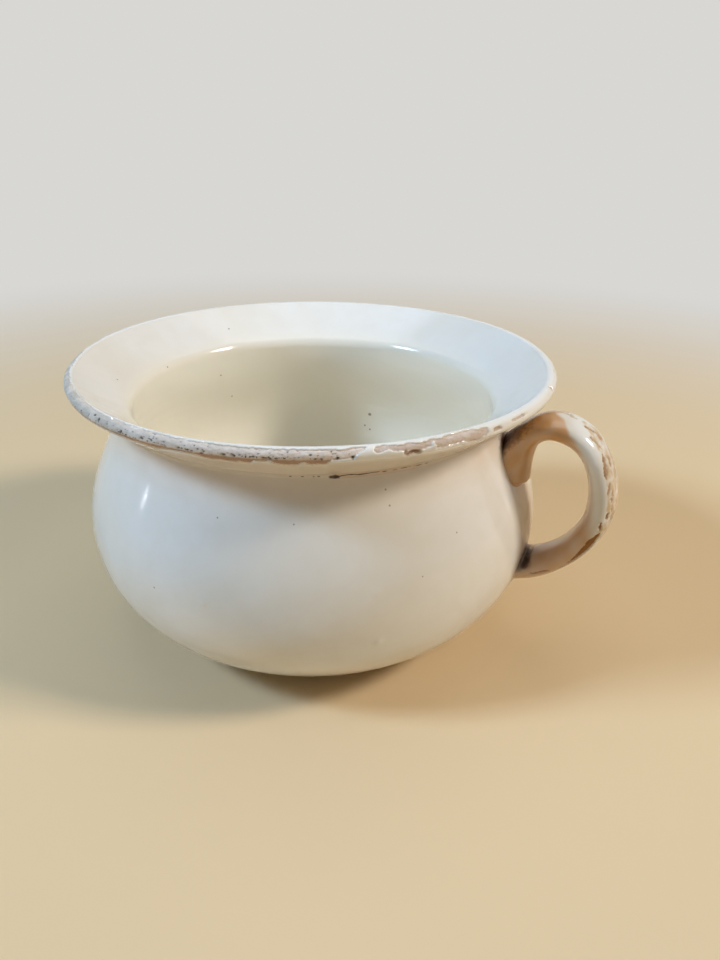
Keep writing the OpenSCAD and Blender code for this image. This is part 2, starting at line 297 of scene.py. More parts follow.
# Where the rim has lost its glaze: the worn band's upper and lower edges, each as azimuths and distances in
# millimetres up the rim's surface from its outermost line
wornBand = dict(
    upper=[
        (147, -9), (148, -0.2), (152, 1.2), (158, 2.0), (164, 1.7), (170, 2.4), (178, 2.6), (186, 2.9),
        (195, 3.2), (203, 3.6), (210, 3.8), (218, 3.6), (222, 4.2), (226, 4.1), (228, 4.8), (233, 4.9),
        (239.5, 4.9), (243, 4.25), (246, 3.9), (250, 3.45), (252.5, 3.8), (254.7, 4.6), (256.7, 3.7),
        (258, 3.55), (260.4, 4.05), (262.6, 3.4), (267.3, 3.6), (268.5, 2.95), (270.6, 3.2), (273, 2.95),
        (276.4, 3.05), (278, 2.75), (286.2, 2.75), (287.6, 2.5), (291.5, 2.75), (295, 2.6), (299.4, 2.4),
        (301.8, 2.6), (303.8, 2.75), (305, 2.7), (305.1, -9), (306.4, -9), (306.5, 1.65), (306.8, 2.7),
        (308.4, 2.9), (309.5, 2.7), (311.9, 2.3), (312.6, 2.85), (313.3, 2.7), (313.8, 2.25), (315.6, 2.0),
        (316.9, 2.25), (317.4, 2.75), (318.1, 2.8), (318.8, 2.35), (319.4, 2.2), (320.1, 2.7),
        (321.9, 3.05), (324.3, 3.25), (326.9, 3.5), (327.4, 3.2), (327.6, 2.5), (328.5, 2.05),
        (329.2, 2.45), (330.9, 1.9), (331.1, -9),
    ],
    lower=[
        (147, 9), (148, 0.2), (152, -0.3), (158, -0.8), (164, -0.3), (170, -0.8), (178, -1.3), (186, -1.2),
        (195, -1.6), (203, -1.5), (210, -1.8), (226, -2.0), (241, -2.2), (250, -2.6), (254, -3.2),
        (259, -4.0), (260.4, -3.9), (261.7, -6.0), (263.6, -5.8), (266, -4.2), (268.7, -2.0), (271.1, -1.9),
        (273, -2.0), (273.8, -2.9), (274.6, -5.0), (275.8, -6.2), (277.6, -5.8), (280.4, -6.4),
        (281.6, -5.6), (282.6, -6.6), (283.7, -6.2), (284.7, -3.4), (285.1, -1.7), (286.5, -2.1),
        (288, -1.5), (288.4, -4.2), (289, -6.0), (290.4, -6.8), (292.6, -6.8), (293.4, -3.4), (293.9, -2.1),
        (294.5, -4.8), (295.2, -6.4), (295.9, -5.4), (297.9, -5.6), (298.4, -2.7), (298.8, -0.8),
        (300.2, -0.85), (302, -0.45), (302.6, -0.85), (302.9, 0.05), (303.5, 1.25), (304.6, 2.2),
        (305, 2.65), (305.1, 9), (306.4, 9), (306.5, 1.35), (307, 0.85), (308.7, 1.4), (309.5, 1.2),
        (309.8, 0.7), (312.3, 0.6), (315.2, 0.0), (316.6, 0.5), (317.5, 0.6), (317.6, 2.3), (318.3, 2.2),
        (318.4, -0.5), (319.2, -0.85), (320.9, -0.55), (323.6, -0.35), (324.5, -0.15), (325.6, -1.05),
        (328.3, -1.6), (329.1, -0.9), (330.6, 0.35), (330.9, 0.75), (331.1, 9),
    ],
    sink=0.3,  # how far the coat's edge dives under the clay
    ragged=[(0.10, 6.0, 18, 11), (0.11, 2.4, 22, 12), (0.08, 1.1, 22, 17)],
    depth=0.08, rough=[(0.05, 1.3, 24, 13), (0.05, 3.2, 18, 14)],
    # browner below, where it paints the shade on the clay that faces down under the lip, and browner towards
    # the handle
    brownShadeBelow=(-0.5, -1.3), brownSide=(304.0, 4.0), brownShare=0.3,
)
# Chips: azimuth, distance up the rim, half length, half height, depth and how brown they are, a brown that
# partly paints the shade in them
rimChips = [
    (313.9, -0.85, 2.3, 0.95, 0.9, 1.0), (312.8, -1.7, 0.45, 0.45, 0.5, 1.0),
    (312.3, -0.2, 0.6, 1.0, 0.2, 0.5), (333.1, 0.45, 1.9, 0.8, 0.6, 0.6),
    (340.9, 1.35, 2.2, 0.25, 0.2, 0.45), (359.9, 2.2, 1.1, 1.05, 0.55, 0.5),
    (12.6, 1.3, 1.1, 1.0, 0.55, 0.4), (24.2, 1.8, 1.3, 0.8, 0.4, 0.3), (138.0, 2.8, 1.2, 0.8, 0.3, 0.3),
    (126.0, 3.0, 0.9, 0.7, 0.3, 0.3), (74.0, 2.6, 1.4, 0.9, 0.3, 0.3), (48.0, 1.5, 1.6, 1.0, 0.3, 0.3),
]
# Pits in the worn clay: azimuth, distance up the rim, half length and half height; a sprinkle of fine ones;
# and a line of finer pores below the middle of the band
rimPits = dict(
    places=[
        (241.5, 0.55, 0.5, 0.4), (247.3, 2.05, 0.6, 0.45), (249.3, 1.15, 0.5, 0.7), (250.4, -0.3, 0.5, 0.6),
        (255.5, 0.3, 0.6, 0.4), (256.7, 0.3, 0.4, 0.4), (257.7, -1.25, 0.8, 0.4), (259.8, 1.55, 0.6, 0.35),
        (262.3, 0.1, 0.8, 0.4), (264.5, 0.55, 0.6, 0.4), (264.9, 3.3, 0.8, 0.2), (267.4, 0.85, 1.2, 0.25),
        (267.8, -0.75, 0.7, 0.5), (270.7, -0.15, 0.7, 0.5), (272.4, -0.5, 0.7, 0.3),
        (273.3, -0.7, 0.6, 0.4), (274.6, 0.45, 0.5, 0.45), (275.2, -1.1, 0.9, 0.4), (275.8, -0.1, 0.5, 0.5),
        (279.6, -0.3, 0.8, 0.45), (280.4, 0.35, 0.4, 0.35), (281.4, -0.35, 0.8, 0.35),
        (282.6, 0.0, 0.35, 0.3), (283.8, 0.15, 0.8, 0.6), (285.1, -0.2, 0.9, 0.35),
        (287.1, -0.6, 1.1, 0.35), (288, -0.7, 0.55, 0.85), (289.2, -0.55, 0.8, 0.5),
        (291.1, 2.05, 0.35, 0.3), (291.5, 0.85, 0.4, 0.35), (295.1, 0.9, 0.35, 0.3),
        (295.9, -0.65, 0.5, 0.4), (296.9, -0.6, 0.6, 0.25), (298.7, 2.1, 0.3, 0.3),
        (299.9, -0.5, 0.55, 0.4), (302.5, -0.4, 0.5, 0.4),
    ],
    fine=110, fromAzimuth=222.0, toAzimuth=303.0, spread=(-1.2, 2.3), size=(0.10, 0.22), depth=0.35,
    poresAt=-0.4, poresReach=0.7, poresOn=(215.0, 30.0), poresOff=(305.0, -12.0),
)


def rimWear(points, azimuth, along):
    # how far each point lies within a worn patch, in millimetres, negative outside: the nearer edge of the
    # band or of a chip's oval, made ragged; with it, how deep, how pitted and how brown the clay is there,
    # the brown being partly painted shade below the lip and in the chips
    ragged = uneven(points, *wornBand["ragged"])
    upper, lower = (np.interp(azimuth, *np.array(wornBand[edge]).T) for edge in ("upper", "lower"))
    worn = np.minimum(upper - along, along - lower) + ragged
    depth = wornBand["depth"] + uneven(points, *wornBand["rough"])
    brown = np.maximum(ramp(along, *wornBand["brownShadeBelow"]),
                       wornBand["brownShare"] * ramp(azimuth, *wornBand["brownSide"]))
    for *spot, deep, tone in rimChips:
        reach = spotReach(azimuth, along, pot["rimR"], *spot)
        worn = np.maximum(worn, (1.0 - reach) * spot[3] + 0.6 * ragged)
        depth = depth + deep * smooth(1.25 - reach)
        brown = np.maximum(brown, tone * smooth(2.4 - 1.6 * reach))
    rng = np.random.default_rng(15)
    fine = rng.uniform(*rimPits["size"], rimPits["fine"])
    sprinkle = np.stack([rng.uniform(rimPits["fromAzimuth"], rimPits["toAzimuth"], rimPits["fine"]),
                         rng.uniform(*rimPits["spread"], rimPits["fine"]), 1.3 * fine, fine], 1)
    pit = np.zeros(points.shape[:2])
    for spot in np.concatenate([rimPits["places"], sprinkle]):
        reach = spotReach(azimuth, along, pot["rimR"], *spot)
        pit = np.maximum(pit, smooth(1.3 - reach + 1.6 * ragged))
    zone = np.exp(-((along - rimPits["poresAt"]) / rimPits["poresReach"]) ** 2)
    zone = zone * np.clip(0.75 + 0.4 * wobble(points, 9.0, 14, 18), 0.0, 1.0)
    zone = zone * ramp(azimuth, *rimPits["poresOn"]) * ramp(azimuth, *rimPits["poresOff"])
    return worn, np.clip(depth, 0.0, None) + rimPits["depth"] * pit, pit, zone, brown


coatLook = dict(
    mean=0.52, least=0.3, most=0.58, swells=[(0.035, 36.0, 12, 3), (0.010, 9.0, 16, 5)], back=0.25,
)


def coatThickness(points):
    # glaze that ran a little in the kiln: its mean thickness plus slow swells and fine ripples, within limits
    swell = uneven(points, *coatLook["swells"])
    return np.clip(coatLook["mean"] + swell, coatLook["least"], coatLook["most"])


# Where grime has gathered in corners, together with painted shade in the crevices under the rim and beside
# the handle's ends: the place, the reach along each axis and the strength
grimeAndShadeSpots = [
    ((95.0, -5.0, 108.0), (4.5, 6.5, 5.5), 1.0), ((98.0, -4.0, 112.0), (5.0, 6.5, 4.0), 0.75),
    ((109.0, -8.5, 51.5), (2.3, 3.4, 3.6), 0.95), ((109.5, -3.0, 55.0), (2.3, 4.0, 2.9), 0.95),
    ((109.0, 7.5, 51.5), (2.4, 3.6, 3.4), 0.7), ((106.5, 0.0, 38.0), (3.0, 7.0, 2.5), 0.5),
]


def cornerGrimeAndShade(points):
    # the strongest of the spots, each falling off with the distance from its place over its reach
    grimeAndShade = np.zeros(points.shape[:2])
    for place, reach, strength in grimeAndShadeSpots:
        away = np.linalg.norm((points - np.array(place)) / np.array(reach), axis=-1)
        grimeAndShade = np.maximum(grimeAndShade, strength * ramp(away, 1.4, -1.3))
    return grimeAndShade


print("profile ready, lip from", round(underAngle - 90.0), "to", round(topAngle), "degrees")

# The bowl of biscuit clay under its coats, turned in rings under the foot
clayLook = dict(
    cols=480, turningPitch=6.0, turningDepth=0.11, grit=0.05, corner=0.4,
    # room for the rim's clay and for the coats
    lipSunk=1.7, lipSpan=(1.0, 5.0, 2.6), coatSunk=0.4, coatSpan=(9.0, 4.0),
)
footR, footH, corner = pot["footR"], pot["footH"], clayLook["corner"]
footInner, bevel = footR - pot["footW"], pot["footBevel"] + 0.3
footLine = joinLines(
    straightLine([1.5, footH], [footInner - corner, footH], 42),
    arcLine([footInner - corner, footH - corner], corner, 90.0, 0.0, 3),
    straightLine([footInner, footH - corner], [footInner, bevel], 3),
    cubicLine([[footInner, bevel], [footInner, corner],
               [footInner + corner, 0.0], [footInner + bevel, 0.0]], 5),
    straightLine([footInner + bevel, 0.0], [footR - bevel, 0.0], 4),
    cubicLine([[footR - bevel, 0.0], [footR - corner, 0.0], [footR, corner], [footR, bevel]], 5),
    straightLine([footR, bevel], footTop, 3),
)
clayLine = joinLines(
    footLine,
    bodyLine[[0, *range(7, len(bodyLine) - 6, 7), -1]],
    crease[::5],
    underLine[[0, 2, *range(4, len(underLine) - 4, 4), -1]],
    lip[[0, 8, 16, 24, -1]],
    insideLine[[*range(0, len(insideLine) - 3, 5), -1]],
)
clayBase, clayNormals = turnLine(clayLine, clayLook["cols"])[:2]
clayR, clayAlong = clayLine[:, :1], lipDistance(clayLine)[:, None]
underFoot = (np.arange(len(clayLine)) < len(footLine))[:, None]
turning = 1.0 + np.cos(2.0 * np.pi * clayR / clayLook["turningPitch"])
turning = clayLook["turningDepth"] * turning * (clayR < footInner - 1.0)
grit = clayLook["grit"] * (1.0 + wobble(clayBase, 4.0, 24, 16))
sunk = np.maximum(clayLook["lipSunk"] * hump(clayAlong, *clayLook["lipSpan"]),
                  clayLook["coatSunk"] * ramp(clayAlong, *clayLook["coatSpan"]))
clayLift = -np.where(underFoot, np.clip(turning + grit, 0.0, None), sunk)
bowlClay = gridMesh(
    "bowl_clay", raised(clayBase, clayNormals, clayLift), True, dict(buff=np.ones_like(clayLift)),
)

# The clay on the rim, which shows where the glaze has worn off; it is greyer round the far side
rimClayLook = dict(
    cols=1500, backRows=7, thickness=0.45, edge=(-0.6, 0.6), buffOn=(235.0, 50.0), buffOff=(30.0, 50.0),
)
rimClayLine = joinLines(underLine[2:], lip, straightLine(lip[-1], roll[0], 12)[:3])
rimClayBase, rimClayNormals, rimClayAzimuth = turnLine(rimClayLine, rimClayLook["cols"])
rimClayWorn, rimClayDepth, rimClayPit, rimClayZone, rimClayBrown = rimWear(
    rimClayBase, rimClayAzimuth, lipDistance(rimClayLine)[:, None],
)
rimClayDepth = rimClayDepth * ramp(rimClayWorn, *rimClayLook["edge"])
buffOn, buffOff = (ramp(rimClayAzimuth, *rimClayLook[key]) for key in ("buffOn", "buffOff"))
rimClayBack = raised(rimClayBase, rimClayNormals, -rimClayDepth - rimClayLook["thickness"])
rimClay = shellMesh(
    "rim_clay",
    raised(rimClayBase, rimClayNormals, -rimClayDepth),
    rimClayBack[someRows(rimClayLine, rimClayLook["backRows"])],
    dict(
        pit=rimClayPit,
        pitZone=rimClayZone,
        buff=(buffOn + 1.0 - buffOff) * np.ones_like(rimClayDepth),
        # brown: partly painted shade on the clay below the lip and in the chips
        brown=rimClayBrown,
    ),
)

# The outside coat in two pieces: the belly from foot to neck, and the rim from its crease to the lip's top
bodyLook = dict(
    cols=700, footFade=1.4, backRows=9,
    # pimples in the glaze: azimuth, height, size and lift
    pimples=[(271.8, 64.1, 1.05, 0.45), (308.7, 46.9, 1.15, 0.50), (308.2, 71.0, 1.0, 0.30)],
    # painted shade in brown: below the handle's upper end, where the handle shades the belly, and fainter up
    # to the rim, under its overhang
    tongue=0.4, tongueSpan=(0.0, 8.0, 1.4), tongueTop=(96.0, -8.0), tongueLow=(46.0, 12.0),
    neck=0.22, neckUp=(97.0, 16.0),
    # the near side of the handle's upper end and both sides of the lower one carry grime and painted shade
    nearSide=(2.0, 4.0), lowerEnd=(90.0, -10.0),
)
bodyBase, bodyNormals, bodyAzimuth = turnLine(bodyLine, bodyLook["cols"])
bodyR, bodyZ = bodyLine[:, :1], bodyLine[:, 1:]
bodyLift = coatThickness(bodyBase)
for place, height, size, swell in bodyLook["pimples"]:
    turn = np.radians(turnFrom(bodyAzimuth, place)) * bodyR
    bodyLift = bodyLift + swell * np.exp(-(turn ** 2 + (bodyZ - height) ** 2) / (2.0 * size ** 2))
# A rounded bead where the glaze was wiped off the foot
fromFoot = np.clip(lineLengths(bodyLine)[:, None] / bodyLook["footFade"], 0.0, 1.0)
bodyLift = bodyLift * np.sqrt(1.0 - (1.0 - fromFoot) ** 2)
nearLimit, nearFade = bodyLook["nearSide"]
nearHandle = smooth((nearLimit - bodyBase[..., 1]) / nearFade + ramp(bodyZ, *bodyLook["lowerEnd"]))
# painted shade: the handle's shadow on the belly and the shade on the neck under the rim
tongueShade = hump(turnFrom(bodyAzimuth, 0.0), *bodyLook["tongueSpan"])
tongueShade = tongueShade * ramp(bodyZ, *bodyLook["tongueTop"]) * ramp(bodyZ, *bodyLook["tongueLow"])
neckShade = ramp(bodyZ, *bodyLook["neckUp"])
bodyBack = raised(bodyBase, bodyNormals, -coatLook["back"])
bodyCoat = shellMesh(
    "body_coat",
    raised(bodyBase, bodyNormals, bodyLift),
    bodyBack[someRows(bodyLine, bodyLook["backRows"])],
    dict(
        grimeAndShade=cornerGrimeAndShade(bodyBase) * nearHandle,
        stainAndShade=np.maximum(bodyLook["tongue"] * tongueShade, bodyLook["neck"] * neckShade),
    ),
)

rimLook = dict(
    cols=1400, backRows=6, backDepth=0.55, edge=(-0.40, 0.58), thin=(-0.6, 0.6), lipSpan=(2.0, 5.0, 3.0),
    # dirt in the bottom of the crease, in a line that breaks up, with a haze round it
    dirtAlong=1.6, dirtOn=(299.0, 2.0), dirtOff=(327.0, -8.0), dirtBreaks=(308.0, 5.0),
    dirtLine=(0.0, 0.36, 1.3), haze=0.4, hazeSpan=(0.0, 5.0, 1.2),
    # blots of dirt in the crease: azimuth, distance from its bottom, half length and half height
    dirtSpots=[
        (300.2, -0.6, 2.0, 1.0), (290.2, 0.0, 0.5, 0.3), (292.9, 0.0, 0.5, 0.3), (295.5, -0.2, 0.4, 0.3),
        (296.6, 0.0, 0.5, 0.35),
    ],
    # painted shade in brown on the rim's underside, and the side near the handle where grime and painted
    # shade reach
    underShade=0.22, underShadeBelow=(-2.5, -5.0), nearSide=(2.0, -4.0),
)
rimBase, rimNormals, rimAzimuth = turnLine(rimLine, rimLook["cols"])
rimAlong = lipDistance(rimLine)[:, None]
rimWorn, rimDepth = rimWear(rimBase, rimAzimuth, rimAlong)[:2]
onLip = hump(rimAlong, *rimLook["lipSpan"])
bared = ramp(rimWorn, *rimLook["edge"]) * onLip
rimLift = coatThickness(rimBase) * (1.0 - bared) - (rimDepth + wornBand["sink"]) * bared
fromCrease = rimAlong - rimAlong[0] - rimLook["dirtAlong"]
dirtReach = ramp(rimAzimuth, *rimLook["dirtOn"]) * ramp(rimAzimuth, *rimLook["dirtOff"])
dirtBreaks = ramp(rimAzimuth, *rimLook["dirtBreaks"]) * (0.6 + 0.4 * wobble(rimBase, 2.6, 18, 21))
dirtLine = hump(fromCrease + 0.2 * wobble(rimBase, 12.0, 8, 22), *rimLook["dirtLine"])
dirt = dirtReach * dirtLine * np.clip(1.05 - dirtBreaks, 0.0, 1.0)
blotEdge = 0.15 * wobble(rimBase, 1.5, 18, 23)
for spot in rimLook["dirtSpots"]:
    reach = spotReach(rimAzimuth, fromCrease, pot["neckR"], *spot)
    dirt = np.maximum(dirt, smooth(1.4 - reach + blotEdge))
haze = dirtReach * hump(fromCrease, *rimLook["hazeSpan"])
# painted shade on the rim's underside
underShade = ramp(rimAlong, *rimLook["underShadeBelow"])
rimBack = raised(rimBase, rimNormals, -np.maximum(rimDepth, 0.0) * bared - rimLook["backDepth"])
rimCoat = shellMesh(
    "rim_coat",
    raised(rimBase, rimNormals, rimLift),
    rimBack[someRows(rimLine, rimLook["backRows"])],
    dict(
        grimeAndShade=np.maximum(dirt, cornerGrimeAndShade(rimBase) * ramp(rimBase[..., 1], *rimLook["nearSide"])),
        stainAndShade=np.maximum(rimLook["underShade"] * underShade, rimLook["haze"] * haze),
        thin=ramp(rimWorn, *rimLook["thin"]) * onLip,
    ),
)

# The inside coat, poured in and rolled over the flange, runs down to the middle of the floor
insideLook = dict(cols=700, throwingPitch=8.0, throwingDepth=0.018, throwingFrom=(30.0, 15.0), backStep=10)
insideBase, insideNormals, insideAzimuth = turnLine(insideLine, insideLook["cols"])
insideAlong = lineLengths(insideLine)[:, None]
rings = np.cos(2.0 * np.pi * insideAlong / insideLook["throwingPitch"] + np.radians(insideAzimuth))
rings = insideLook["throwingDepth"] * rings * ramp(insideAlong, *insideLook["throwingFrom"])
insideFront = raised(insideBase, insideNormals, coatThickness(insideBase) + rings)
insideBack = raised(insideBase, insideNormals, -coatLook["back"])[::insideLook["backStep"]]
insideCoat = gridMesh(
    "inside_coat", np.concatenate([insideFront[::-1], insideBack]), True, flatRows=(len(insideFront) - 1,),
)

# The strap handle: a superellipse carried along three joined curves, spreading at both ends
strap = dict(
    width=20.6, thickness=10.0, bowThickness=11.4, fingerGap=24.7, crestOut=6.6, crestDrop=16.7,
    bowDrop=32.4, tongueDrop=27.9, lowerZ=45.0, endWidth=23.6, upperEnd=23.0, lowerEnd=12.0,
    upperSink=7.2, lowerSink=4.4, upperLean=76.0, lowerLean=8.0, upperReach=0.43, crestIn=0.54,
    crestAway=0.77, bowReach=0.34, lowerReach=0.70, upperSpread=0.26, lowerSpread=0.13, bowShare=0.66,
    bowSpread=0.24, tipShare=2.0 / 33.0, tipCut=0.135, power=2.1,
    shares=(12, 9, 12), ringsPerShare=11, sides=144, fillet=1.4, seat=3.0,
    pulled=[(0.10, 17.0, 12, 31)], pulledMean=-0.05, coatBack=0.75, backStep=6,
)


def bowlRadius(height):
    # outside radius of the bowl at a height on its belly or neck
    return np.interp(height, bodyLine[:, 1], bodyLine[:, 0])


def strapGrid():
    # rings of a superellipse, |y/w|^p + |t/h|^p = 1, across the strap's line, with their outward normals;
    # with them, each ring's share of the way along and each side's angle, which is 90 on the back
    crest = np.array([pot["bellyR"] + strap["crestOut"], pot["height"] - strap["crestDrop"]])
    bowOut = strap["fingerGap"] + strap["bowThickness"] / 2.0
    bow = np.array([pot["bellyR"] + bowOut, crest[1] - strap["bowDrop"]])
    tipZ = crest[1] - strap["tongueDrop"]
    upperTip = np.array([bowlRadius(tipZ) - strap["upperSink"], tipZ])
    lowerTip = np.array([bowlRadius(strap["lowerZ"]) - strap["lowerSink"], strap["lowerZ"]])
    counts = [share * strap["ringsPerShare"] + 1 for share in strap["shares"]]
    upperPull = strap["upperReach"] * strap["tongueDrop"] * unitAt(strap["upperLean"])
    lowerPull = strap["lowerReach"] * (bow[0] - lowerTip[0]) * unitAt(strap["lowerLean"])
    crestIn, crestAway = strap["crestIn"] * (crest[0] - upperTip[0]), strap["crestAway"] * (bow[0] - crest[0])
    bowUp, bowDown = strap["bowReach"] * strap["bowDrop"], strap["bowReach"] * (bow[1] - strap["lowerZ"])
    line = joinLines(
        cubicLine([upperTip, upperTip + upperPull, crest - [crestIn, 0.0], crest], counts[0]),
        cubicLine([crest, crest + [crestAway, 0.0], bow + [0.0, bowUp], bow], counts[1]),
        cubicLine([bow, bow - [0.0, bowDown], lowerTip + lowerPull, lowerTip], counts[2]),
    )
    share = np.linspace(0.0, 1.0, len(line))
    upper = 1.0 - smooth(share / strap["upperSpread"])
    lower = 1.0 - smooth((1.0 - share) / strap["lowerSpread"])
    tip = np.clip(1.0 - strap["tipCut"] - share / strap["tipShare"], 0.0, 1.0)
    rounded = np.sqrt(1.0 - tip ** 2)
    halfWidth = rounded * (strap["width"] + (strap["endWidth"] - strap["width"]) * (upper + lower)) / 2.0
    fuller = 1.0 - smooth(np.abs(share - strap["bowShare"]) / strap["bowSpread"])
    halfThick = rounded * (strap["thickness"] + (strap["upperEnd"] - strap["thickness"]) * upper
                           + (strap["bowThickness"] - strap["thickness"]) * fuller
                           + (strap["lowerEnd"] - strap["thickness"]) * lower) / 2.0
    out = -lineNormals(line)
    angle = np.linspace(0.0, 2.0 * np.pi, strap["sides"], endpoint=False)

    def power(x, exponent):
        # a power of the size of x, with its sign
        return np.sign(x) * np.abs(x) ** exponent

    across = halfWidth[:, None] * power(np.cos(angle), 2.0 / strap["power"])
    outward = halfThick[:, None] * power(np.sin(angle), 2.0 / strap["power"])
    points = np.stack([line[:, :1] + outward * out[:, :1], across, line[:, 1:] + outward * out[:, 1:]], -1)
    lean = 2.0 - 2.0 / strap["power"]
    slopeY = power(np.cos(angle), lean) / halfWidth[:, None]
    slopeOut = power(np.sin(angle), lean) / halfThick[:, None]
    size = np.hypot(slopeY, slopeOut)
    slopeY, slopeOut = slopeY / size, slopeOut / size
    normals = np.stack([slopeOut * out[:, :1], slopeY, slopeOut * out[:, 1:]], -1)
    return points, normals, share[:, None], np.degrees(angle)


def bowlGap(points):
    # how far a point stands off the bowl's outside; far, above the crease under the rim
    gap = np.hypot(points[..., 0], points[..., 1]) - bowlRadius(points[..., 2])
    return np.where(points[..., 2] > neckTop[1] + 2.0, 99.0, gap)


def seatOnBowl(points, normals, lift):
    # lifts the strap's surface, flares it in a fillet where it nears the bowl, R - sqrt(R^2 - (R - gap)^2),
    # and keeps what is inside the wall from reaching through it
    near = np.clip(strap["fillet"] - bowlGap(points), 0.0, strap["fillet"])
    flare = strap["fillet"] - np.sqrt(strap["fillet"] ** 2 - near ** 2)
    moved = points + (lift + flare)[..., None] * normals
    radius = np.hypot(moved[..., 0], moved[..., 1])
    seat = bowlRadius(moved[..., 2]) - strap["seat"]
    push = np.maximum(1.0, seat / radius)
    return settle(np.stack([moved[..., 0] * push, moved[..., 1] * push, moved[..., 2]], -1))


# The handle's back is rubbed thin and tan between these side angles along the strap, and scratched through to
# the clay along these strokes: share, side angle and half width at each point
handleWear = dict(
    share=[0.405, 0.421, 0.441, 0.455, 0.475, 0.502, 0.532, 0.549, 0.606, 0.650, 0.684, 0.720, 0.75],
    front=[88, 104, 127, 127, 134, 151, 151, 157, 157, 162, 168, 160, 120],
    far=[86, 74, 64, 60, 55, 50, 48, 46, 46, 52, 70, 100, 110],
    strokes=[
        [(0.421, 99, 0.5), (0.431, 96, 0.7), (0.444, 90, 0.5), (0.462, 88, 0.4)],
        [(0.441, 124, 0.2), (0.455, 120, 0.45), (0.470, 121, 0.3)],
        [(0.484, 132, 0.4), (0.496, 138, 0.9), (0.512, 144, 1.1), (0.532, 149, 0.5)],
        [(0.488, 118, 0.3), (0.505, 112, 0.7), (0.520, 116, 0.3)],
        [(0.500, 84, 0.3), (0.519, 82, 0.6), (0.539, 90, 0.7), (0.552, 99, 0.4)],
        [(0.556, 140, 0.5), (0.566, 145, 0.7), (0.578, 152, 0.5)], [(0.577, 129, 0.6), (0.583, 132, 0.6)],
        [(0.596, 136, 0.6), (0.602, 134, 0.6)], [(0.622, 130, 0.8), (0.634, 128, 0.7)],
        [(0.655, 124, 0.8), (0.668, 123, 0.6)], [(0.640, 150, 0.3), (0.655, 152, 0.5)],
    ],
    nicks=[[(0.372, 75, 0.25), (0.384, 81, 0.45), (0.394, 84, 0.25)]],
    rust=[
        [(0.672, 166, 0.5), (0.684, 164, 0.6), (0.700, 158, 0.3)],
        [(0.716, 154, 0.8), (0.735, 156, 1.6), (0.752, 158, 2.3), (0.778, 158, 2.4), (0.800, 158, 1.7),
         (0.825, 155, 1.1), (0.852, 150, 0.5), (0.876, 150, 0.3)],
        [(0.900, 164, 0.3), (0.926, 172, 0.4), (0.940, 176, 0.2)],
    ],
    sink=0.3, ragged=[(0.18, 4.0, 18, 32), (0.22, 1.5, 24, 33)], edge=(-0.2, 0.35), thin=(-0.8, 0.8),
    depth=0.10, rough=[(0.06, 1.6, 24, 34)],
    # where it is rubbed the clay lies nearer to the surface
    rubbed=(-0.9, 1.8), rubbedRagged=[(0.5, 5.0, 18, 38)], clayNear=0.36,
    scratchBrown=(-0.36, 1.2), rustEdge=(-0.4, 0.8), nickEdge=(-0.25, 0.5),
    # an open hollow beside the lower end, where the slip did not fill the corner
    hollowShare=(0.953, 0.014, 1.5), hollowAngle=(245.0, 42.0, 1.5), hollowDepth=1.5,
)
strapPoints, strapNormals, strapShare, strapAngle = strapGrid()
strapLength = np.linalg.norm(np.diff(strapPoints.mean(1), axis=0), axis=1).sum()
degreeLength = np.radians(strap["width"] / 2.4)  # millimetres round the strap for each degree


def strokeField(strokes):
    # how far each point of the strap lies within a stroke, in millimetres: its half width less the distance
    field = np.full(strapPoints.shape[:2], -9.0)
    spot = np.stack(np.broadcast_arrays(strapShare * strapLength, strapAngle * degreeLength), -1)
    for stroke in strokes:
        places = np.array(stroke) * [strapLength, degreeLength, 1.0]
        for start, end in zip(places[:-1], places[1:]):
            along = end[:2] - start[:2]
            t = np.clip((spot - start[:2]) @ along / (along @ along), 0.0, 1.0)
            away = np.linalg.norm(spot - start[:2] - t[..., None] * along, axis=-1)
            field = np.maximum(field, start[2] + (end[2] - start[2]) * t - away)
    return field


strapUneven = uneven(strapPoints, *strap["pulled"]) + strap["pulledMean"]
handleRagged = uneven(strapPoints, *handleWear["ragged"])
scratched, rusted, nicked = (strokeField(handleWear[kind]) for kind in ("strokes", "rust", "nicks"))
handleWorn = np.maximum.reduce([scratched, rusted, nicked]) + handleRagged
front, far = (
    np.interp(strapShare, handleWear["share"], handleWear[edge], 0.0, 0.0) for edge in ("front", "far")
)
rubbed = np.minimum(front - strapAngle, strapAngle - far) * degreeLength
rubbed = ramp(rubbed + uneven(strapPoints, *handleWear["rubbedRagged"]), *handleWear["rubbed"])
clayNear = handleWear["clayNear"] * rubbed
blotches = wobble(strapPoints * [1.0, 1.5, 1.0], 7.0, 20, 35) + 0.6 * wobble(strapPoints, 2.4, 24, 36)
rubbed = rubbed * np.clip(0.72 + 0.16 * blotches, 0.0, 1.0)
handleDepth = np.clip(handleWear["depth"] + uneven(strapPoints, *handleWear["rough"]), 0.0, None)
handleBared = ramp(handleWorn, *handleWear["edge"])
hollow = hump(strapShare, *handleWear["hollowShare"]) * hump(strapAngle, *handleWear["hollowAngle"])
strapSunk = strapUneven - handleWear["hollowDepth"] * hollow
clayTop = strapSunk + clayNear - handleDepth * handleBared
handleClay = gridMesh(
    "handle_clay", seatOnBowl(strapPoints, strapNormals, clayTop), True,
    dict(
        buff=np.ones_like(handleDepth),
        tan=np.ones_like(handleDepth),
        brown=0.65 * ramp(scratched + handleRagged, *handleWear["scratchBrown"]),
        rust=ramp(rusted, *handleWear["rustEdge"]),
        pit=0.7 * ramp(nicked, *handleWear["nickEdge"]),
    ),
)
handleLift = (strapSunk + coatThickness(strapPoints)) * (1.0 - handleBared)
handleLift = handleLift + (clayTop - handleWear["sink"]) * handleBared
